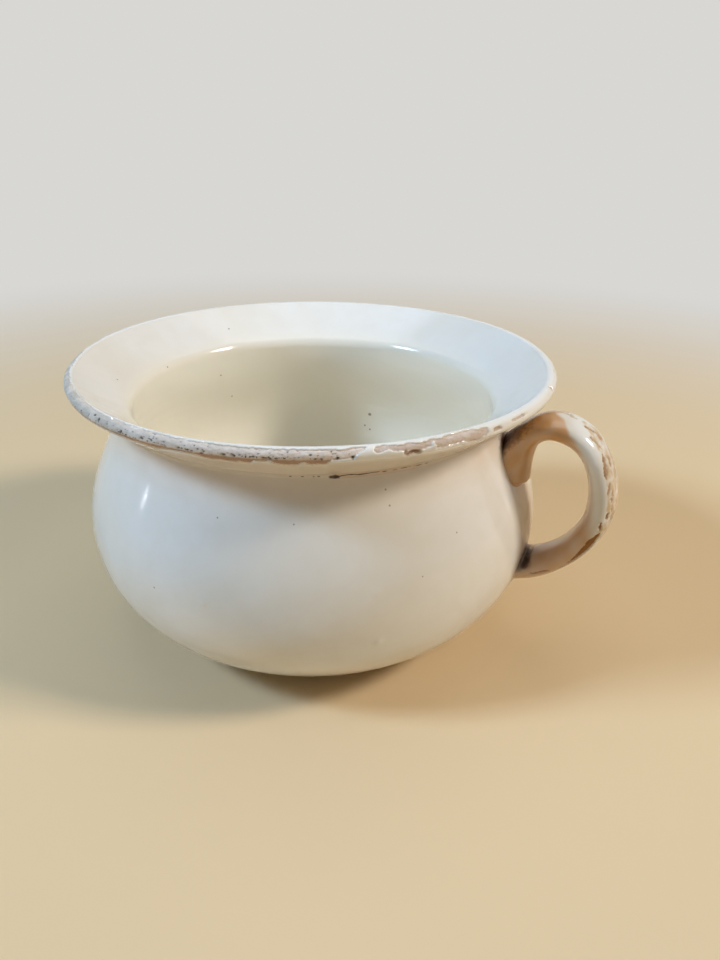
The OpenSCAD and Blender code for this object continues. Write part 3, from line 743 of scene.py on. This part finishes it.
# Old use has browned the handle's upper root, its inside and its lower arm, and the same brown also paints
# the shade there, with the rim's shadow edge across the root: degrees from the inner face at each share. The
# top of the lower arm is paler, painted light where it faces up.
handleStainAndShade = dict(
    share=[0.0, 0.352, 0.378, 0.388, 0.399, 0.428, 0.474, 0.569, 0.650, 0.687, 0.720, 0.768, 0.845, 0.912, 1],
    reach=[195, 190, 156, 126, 105, 84, 57, 42, 45, 65, 90, 120, 130, 140, 150],
    strength=[0.85, 0.92, 0.92, 0.9, 0.85, 0.75, 0.65, 0.6, 0.6, 0.7, 0.75, 0.75, 0.75, 0.75, 0.6],
    fadeShare=[0.40, 0.55, 0.68, 0.76], fade=[22.0, 50.0, 90.0, 60.0],
    arm=(0.66, 0.08), armTop=(0.0, 22.0, 1.4), armTopLit=0.55,
)
fromInner = np.abs((strapAngle - 90.0) % 360.0 - 180.0)
stainAndShadeReach = np.interp(strapShare, handleStainAndShade["share"], handleStainAndShade["reach"])
stainAndShadeFade = np.interp(strapShare, handleStainAndShade["fadeShare"], handleStainAndShade["fade"])
stainAndShade = smooth(0.5 + (stainAndShadeReach - fromInner) / stainAndShadeFade)
stainAndShade = stainAndShade * np.interp(strapShare, handleStainAndShade["share"], handleStainAndShade["strength"])
onArm = ramp(strapShare, *handleStainAndShade["arm"]) * hump(fromInner, *handleStainAndShade["armTop"])
stainAndShade = stainAndShade * (1.0 - handleStainAndShade["armTopLit"] * onArm)
stainAndShade = stainAndShade * np.clip(0.92 + 0.07 * wobble(strapPoints, 9.0, 14, 37), 0.5, 1.0)
# Grime and painted shadow on the root's back under the rim, where the rim shades it, and grime and painted
# shade in the open hollow
handleGrimeAndShade = dict(
    root=0.9, rootShare=(0.33, -0.2), rootAngle=(100.0, 60.0, 1.3),
    hollow=0.8, hollowShare=0.960, hollowLength=0.017, hollowAngle=243.0, hollowWidth=44.0,
)
rootGrimeAndShadow = ramp(strapShare, *handleGrimeAndShade["rootShare"]) * hump(strapAngle, *handleGrimeAndShade["rootAngle"])
fromHollow = np.hypot(
    np.maximum(handleGrimeAndShade["hollowShare"] - strapShare, 0.0) / handleGrimeAndShade["hollowLength"],
    (strapAngle - handleGrimeAndShade["hollowAngle"]) / handleGrimeAndShade["hollowWidth"],
)
hollowGrimeAndShade = handleGrimeAndShade["hollow"] * smooth(1.5 - fromHollow)
handleCoat = shellMesh(
    "handle_coat",
    seatOnBowl(strapPoints, strapNormals, handleLift),
    seatOnBowl(strapPoints, strapNormals, clayTop - strap["coatBack"])[::strap["backStep"]],
    dict(
        grimeAndShade=np.maximum.reduce([cornerGrimeAndShade(strapPoints), handleGrimeAndShade["root"] * rootGrimeAndShadow, hollowGrimeAndShade]),
        thin=np.maximum(rubbed, 0.8 * ramp(handleWorn, *handleWear["thin"])),
        stainAndShade=stainAndShade,
    ),
)
print("pieces built")


def linearColour(code):
    # an sRGB hex colour as linear light: c / 12.92 where dark, else ((c + 0.055) / 1.055)^2.4; alpha is 1
    srgb = np.array([int(code[k:k + 2], 16) for k in (1, 3, 5)]) / 255.0
    linear = np.where(srgb <= 0.04045, srgb / 12.92, ((srgb + 0.055) / 1.055) ** 2.4)
    return (*linear.tolist(), 1.0)


def addNode(tree, kind, inputs=None, **settings):
    # adds one node with its settings; an input is a value, or another node's output to link
    node = tree.nodes.new("ShaderNode" + kind)
    for name, value in settings.items():
        setattr(node, name, value)
    for name, value in (inputs or {}).items():
        if isinstance(value, bpy.types.NodeSocket):
            tree.links.new(value, node.inputs[name])
        else:
            node.inputs[name].default_value = value
    return node


def newMaterial(name):
    # a new material with its nodes, its shader and the place on the pot
    material = bpy.data.materials.new(name)
    material.use_nodes = True
    tree = material.node_tree
    return material, tree, tree.nodes["Principled BSDF"], addNode(tree, "TexCoord").outputs["Object"]


def mixColours(tree, share, first, second, **settings):
    # a colour between two, by a share from 0 to 1; each is a hex code or another node's output
    first, second = (linearColour(tone) if isinstance(tone, str) else tone for tone in (first, second))
    return addNode(tree, "Mix", {0: share, 6: first, 7: second}, data_type="RGBA", **settings).outputs[2]


def calculate(tree, operation, *values, **settings):
    # one operation on up to three values
    return addNode(tree, "Math", dict(enumerate(values)), operation=operation, **settings).outputs[0]


def carryOver(tree, value, start, end, low=0.0, high=1.0, kind="LINEAR"):
    # a value carried from the range start to end over to the range low to high, and held at its ends
    inputs = {"Value": value, "From Min": start, "From Max": end, "To Min": low, "To Max": high}
    return addNode(tree, "MapRange", inputs, interpolation_type=kind).outputs[0]


def noiseOf(tree, place, size, detail, roughness=0.5):
    # soft noise whose features are this many millimetres across
    inputs = {"Vector": place, "Scale": 1.0 / (size * mm), "Detail": detail, "Roughness": roughness}
    return addNode(tree, "TexNoise", inputs).outputs["Fac"]


def markOf(tree, name):
    # the value of one of a piece's marks
    return addNode(tree, "Attribute", attribute_name=name).outputs["Fac"]


def finishShader(tree, shader, colour, roughness, bumps, strength, depth):
    # joins the colour, the roughness and bumps of this depth in millimetres to the shader
    bump = addNode(tree, "Bump", {"Height": bumps, "Strength": strength, "Distance": depth * mm})
    for name, value in (("Base Color", colour), ("Roughness", roughness), ("Normal", bump.outputs["Normal"])):
        tree.links.new(value, shader.inputs[name])


def placeOf(azimuth, radius, height):
    # a place on the pot in metres: the radius times the azimuth's cosine and sine, and the height
    x, y = radius * unitAt(azimuth) * mm
    return (x, y, height * mm)


# Tin-white glaze on earthenware, poured and fired: a thick glossy skin with slow swells, faint clouds of
# warmer and cooler white, iron specks, and clay showing pinkish through where it is thin. Specks: azimuth,
# radius, height and size
whiteGlazeLook = dict(
    # the grime colour also paints shade in crevices; the stain colour also paints shade under the rim and the
    # handle
    pale="#eceae6", warm="#e6e2d9", thin="#c2a58a", grimeAndShade="#43270f", stainAndShade="#dea55f", speck="#8a7762",
    cloudSize=42.0, clouds=(0.38, 0.66), mottleSize=7.0, mottles=(0.45, 0.8, 0.0, 0.45),
    thinFrom=0.25, thinShare=0.6, grimeAndShadeSize=2.4, grimeAndShadeBreaks=(0.35, 0.62, -0.25, 0.0), grimeAndShadeGain=1.1,
    speckShare=0.75, peelSize=2.6, peelDepth=0.05, peelStrength=0.12,
    roughness=0.11, grimeAndShadeRoughness=0.6, ior=1.52,
    specks=[
        (273.5, 98.8, 97.2, 0.40), (291.0, 98.7, 97.5, 0.38), (312.8, 96.9, 101.8, 0.45),
        (312.2, 94.7, 107.8, 0.45), (328.7, 103.7, 86.0, 0.4), (318.4, 107.9, 73.7, 0.35),
        (258.8, 109.4, 63.2, 0.45),
    ],
)
# The same glaze inside, where it pooled thicker and turned a greener cream
creamGlazeLook = dict(
    whiteGlazeLook, cream="#f2ecdd", creamFrom=123.0, creamTo=112.0, speck="#6e5c42",
    specks=[
        (146.2, 96.1, 124.4, 0.55), (205.5, 93.0, 122.0, 0.5), (179.0, 86.1, 115.8, 0.5),
        (153.5, 87.2, 101.2, 0.5), (147.2, 94.6, 84.4, 0.5), (96.1, 101.4, 66.2, 1.1),
        (97.9, 101.9, 58.2, 0.6), (96.0, 101.7, 55.9, 0.65),
    ],
)
# The same on the handle, where hands have rubbed it thin over tan clay
handleGlazeLook = dict(
    whiteGlazeLook, thin="#cbad80", thinShare=0.85,
    specks=[(-3.0, 121.0, 122.6, 0.5), (-4.0, 128.0, 56.0, 0.5)],
)


def glazeMaterial(name, look):
    # white with clouds and mottles of a warmer white and, one over the other, cream by height, clay where the
    # coat is thin, grime with painted shade, specks and a brown film that is partly stain and partly painted
    # shade
    material, tree, shader, place = newMaterial(name)
    clouded = carryOver(tree, noiseOf(tree, place, look["cloudSize"], 3.0), *look["clouds"])
    mottled = carryOver(tree, noiseOf(tree, place, look["mottleSize"], 4.0), *look["mottles"])
    colour = mixColours(tree, clouded, look["pale"], look["warm"])
    colour = mixColours(tree, mottled, colour, look["warm"])
    if "cream" in look:
        height = addNode(tree, "SeparateXYZ", {"Vector": place}).outputs["Z"]
        inside = carryOver(tree, height, look["creamFrom"] * mm, look["creamTo"] * mm, kind="SMOOTHSTEP")
        colour = mixColours(tree, inside, colour, look["cream"])
    thinned = carryOver(tree, markOf(tree, "thin"), look["thinFrom"], 1.0, high=look["thinShare"])
    colour = mixColours(tree, thinned, colour, look["thin"])
    # grime, and painted shade in crevices, broken up by noise; it also roughens the glaze
    broken = carryOver(tree, noiseOf(tree, place, look["grimeAndShadeSize"], 5.0), *look["grimeAndShadeBreaks"])
    grimedAndShaded = calculate(tree, "MULTIPLY_ADD", markOf(tree, "grimeAndShade"), look["grimeAndShadeGain"], broken, use_clamp=True)
    unmarked = calculate(tree, "POWER", calculate(tree, "SUBTRACT", 1.0, grimedAndShaded), 2.0)
    colour = mixColours(tree, unmarked, look["grimeAndShade"], colour)
    specks = None
    for *spot, size in look["specks"]:
        away = addNode(tree, "VectorMath", {0: place, 1: placeOf(*spot)}, operation="DISTANCE")
        ends = 1.25 * size * mm, 0.5 * size * mm
        speck = carryOver(tree, away.outputs["Value"], *ends, kind="SMOOTHSTEP")
        specks = speck if specks is None else calculate(tree, "MAXIMUM", specks, speck)
    colour = mixColours(tree, calculate(tree, "MULTIPLY", specks, look["speckShare"]), colour, look["speck"])
    # brown stain and painted shade, multiplied over the colour
    colour = mixColours(tree, markOf(tree, "stainAndShade"), colour, look["stainAndShade"], blend_type="MULTIPLY")
    rough = carryOver(tree, grimedAndShaded, 0.0, 1.0, look["roughness"], look["grimeAndShadeRoughness"])
    peel = noiseOf(tree, place, look["peelSize"], 2.0)
    finishShader(tree, shader, colour, rough, peel, look["peelStrength"], look["peelDepth"])
    shader.inputs["IOR"].default_value = look["ior"]
    return material


# Biscuit earthenware, thrown and low-fired: matt, sandy and porous, greyer where it has weathered and brown
# in its pits
biscuitLook = dict(
    grey="#beb8ae", buff="#dfd1c6", pale="#e8e0d8", pit="#3a2d24", brown="#8f6038", tan="#b7966c",
    rust="#8a5508", weights=dict(tan=0.75, brown=0.75, rust=0.92),
    patchSize=6.0, patches=(0.45, 0.7, 0.0, 0.7), grainSize=0.9, grains=(0.55, 0.75, 0.0, 0.4),
    grainDepth=0.25, grainStrength=0.6, pitSize=0.9, pores=(0.80, 0.90), poreGain=0.3,
    roughness=0.92, patchSmoother=0.1,
)


def biscuitMaterial(name, look):
    # grey to buff clay with bleached patches and, one over the other, tan, brown and rust, sandy grains and
    # dark pits; on the rim the brown is partly painted shade
    material, tree, shader, place = newMaterial(name)
    patch = noiseOf(tree, place, look["patchSize"], 4.0)
    grain = noiseOf(tree, place, look["grainSize"], 6.0, 0.65)
    colour = mixColours(tree, markOf(tree, "buff"), look["grey"], look["buff"])
    colour = mixColours(tree, carryOver(tree, patch, *look["patches"]), colour, look["pale"])
    for mark, weight in look["weights"].items():
        share = calculate(tree, "MULTIPLY", markOf(tree, mark), weight)
        colour = mixColours(tree, share, colour, look[mark])
    colour = mixColours(tree, carryOver(tree, grain, *look["grains"]), colour, look["brown"])
    pores = noiseOf(tree, place, look["pitSize"], 3.0)
    pores = calculate(tree, "MULTIPLY_ADD", markOf(tree, "pitZone"), look["poreGain"], pores)
    pit = calculate(tree, "MAXIMUM", markOf(tree, "pit"), carryOver(tree, pores, *look["pores"]))
    colour = mixColours(tree, pit, colour, look["pit"])
    rough = carryOver(tree, patch, 0.0, 1.0, look["roughness"], look["roughness"] - look["patchSmoother"])
    finishShader(tree, shader, colour, rough, grain, look["grainStrength"], look["grainDepth"])
    return material


# The slip that holds the handle's ends: the same clay, darker
slipLook = dict(biscuitLook, grey="#a5937f", pale="#bba894", roughness=0.95)

whiteGlaze = glazeMaterial("tin_white_glaze", whiteGlazeLook)
creamGlaze = glazeMaterial("cream_glaze_inside", creamGlazeLook)
handleGlaze = glazeMaterial("tin_white_glaze_handled", handleGlazeLook)
biscuit = biscuitMaterial("biscuit_earthenware", biscuitLook)
lutingSlip = biscuitMaterial("luting_slip", slipLook)
dress(bowlClay, biscuit, "biscuit", "bowl")
dress(rimClay, biscuit, "biscuit", "bowl")
dress(bodyCoat, whiteGlaze, "white_glaze", "outside_glaze")
dress(rimCoat, whiteGlaze, "white_glaze", "outside_glaze")
dress(insideCoat, creamGlaze, "cream_glaze", "inside_glaze")
dress(handleClay, biscuit, "biscuit", "handle")
dress(handleCoat, handleGlaze, "white_glaze", "handle_glaze")
for name in ("upper_slip", "lower_slip"):  # sealed under the handle's ends
    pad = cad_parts[name]
    pad.data.materials.clear()
    pad.data.materials.append(lutingSlip)
print("materials made")


def seenDirectly(tree):
    # 1 for what is looked at, also in a reflection, and 0 for what only lights the pot
    path = addNode(tree, "LightPath")
    seen = calculate(tree, "MAXIMUM", path.outputs["Is Camera Ray"], path.outputs["Is Glossy Ray"])
    return calculate(tree, "MAXIMUM", seen, path.outputs["Is Transmission Ray"])


# A round pale floor that fades into the backdrop
stageLook = dict(
    radius=3.0, thickness=10.0, floor="#e0c8a2", roughness=0.9, specular=0.1,
    backdrop="#d8d7d4", fadeFrom=0.30, fadeTo=0.95, light="#f4f4f6", lightStrength=0.06,
)
floorRings = np.linspace(0.1, 1.0, 14) ** 2 * stageLook["radius"] / mm
floorLine = np.stack([floorRings, np.zeros_like(floorRings)], 1)
floorPoints = turnLine(floorLine, 96)[0]
floorBelow = floorPoints[::-1] - [0.0, 0.0, stageLook["thickness"]]
studioFloor = gridMesh("studio_floor", np.concatenate([floorPoints, floorBelow]), True)
floorMaterial, tree, shader, place = newMaterial("matt_paper_floor")
shader.inputs["Base Color"].default_value = linearColour(stageLook["floor"])
shader.inputs["Roughness"].default_value = stageLook["roughness"]
shader.inputs["Specular IOR Level"].default_value = stageLook["specular"]
distance = addNode(tree, "VectorMath", {0: place}, operation="LENGTH").outputs["Value"]
fade = carryOver(tree, distance, stageLook["fadeFrom"], stageLook["fadeTo"], kind="SMOOTHSTEP")
share = calculate(tree, "MULTIPLY", fade, seenDirectly(tree))
backdrop = {"Color": linearColour(stageLook["backdrop"]), "Strength": 1.0}
glow = addNode(tree, "Emission", backdrop)
mixed = addNode(tree, "MixShader", {0: share, 1: shader.outputs[0], 2: glow.outputs[0]})
tree.links.new(mixed.outputs[0], tree.nodes["Material Output"].inputs["Surface"])
studioFloor.data.materials.append(floorMaterial)

# The world lights softly from all round, and is seen as the backdrop
world = bpy.data.worlds.new("studio_world")
bpy.context.scene.world = world
world.use_nodes = True
tree = world.node_tree
tree.nodes.clear()
soft = {"Color": linearColour(stageLook["light"]), "Strength": stageLook["lightStrength"]}
soft, shown = addNode(tree, "Background", soft), addNode(tree, "Background", backdrop)
mixed = addNode(tree, "MixShader", {0: seenDirectly(tree), 1: soft.outputs[0], 2: shown.outputs[0]})
addNode(tree, "OutputWorld", {"Surface": mixed.outputs[0]})

# The camera stands to the front right of the pot and looks a little down
cameraLook = dict(focal=749.0, imageHeight=960.0, sensor=36.0, azimuth=26.0, away=344.5, height=237.0,
                      pitch=26.19, yaw=3.75, roll=-0.67)


def placeObject(name, data, axes, place):
    # puts a camera or a lamp at a place in metres; its axes are its right, up and back
    item, matrix = bpy.data.objects.new(name, data), Matrix.Identity(4)
    for column, vector in enumerate([*axes, place]):
        matrix.col[column][:3] = vector
    item.matrix_world = matrix
    bpy.context.scene.collection.objects.link(item)
    return item


def buildCamera(look):
    # right, up and back of a camera that yaws to the right, pitches down and then rolls: its level directions
    # and the upright, mixed by the cosine and sine of each angle
    (cp, sp), (cr, sr) = unitAt(look["pitch"]), unitAt(look["roll"])
    right, ahead = (np.append(unitAt(look["azimuth"] - look["yaw"] + turn), 0.0) for turn in (0.0, 90.0))
    up = np.array([0.0, 0.0, 1.0])
    forward, down = ahead * cp - up * sp, -(up * cp + ahead * sp)
    axes = [right * cr + down * sr, right * sr - down * cr, -forward]
    place = np.append(look["away"] * unitAt(look["azimuth"] - 90.0), look["height"]) * mm
    data = bpy.data.cameras.new("camera")
    data.sensor_fit = "VERTICAL"
    data.sensor_height = look["sensor"]
    data.lens = look["focal"] / look["imageHeight"] * look["sensor"]
    data.clip_start = 0.01
    bpy.context.scene.camera = placeObject("camera", data, axes, place)


buildCamera(cameraLook)

# Two soft lamps from the sides, the left one cooler, a wide one overhead, and a small low one for a glint on
# the belly: azimuth from the camera's right, elevation, distance, width and height, power and colour
lampLooks = dict(
    left_softbox=(-167.0, 39.3, 2.2, 0.42, 0.42, 34.0, "#bfdfff"),
    right_softbox=(-16.0, 38.7, 2.2, 0.42, 0.42, 30.5, "#fff5e8"),
    top_softbox=(90.0, 82.0, 2.0, 1.6, 1.6, 11.0, "#fbfaf6"),
    low_window=(177.0, 4.5, 2.2, 0.07, 0.13, 0.9, "#f4f8ff"),
)
lampTarget = np.array([0.0, 0.0, 0.08])
for name, (azimuth, elevation, away, wide, high, power, colour) in lampLooks.items():
    data = bpy.data.lights.new(name, "AREA")
    data.shape = "RECTANGLE"
    data.size, data.size_y = wide, high
    data.energy = power
    data.color = linearColour(colour)[:3]
    level, height = unitAt(elevation)
    x, y = unitAt(azimuth + cameraLook["azimuth"])
    back, right = np.array([level * x, level * y, height]), np.array([-y, x, 0.0])
    placeObject(name, data, [right, np.cross(back, right), back], lampTarget + away * back)
bpy.context.scene.view_settings.view_transform = "Standard"
print("stage, camera and lamps set")
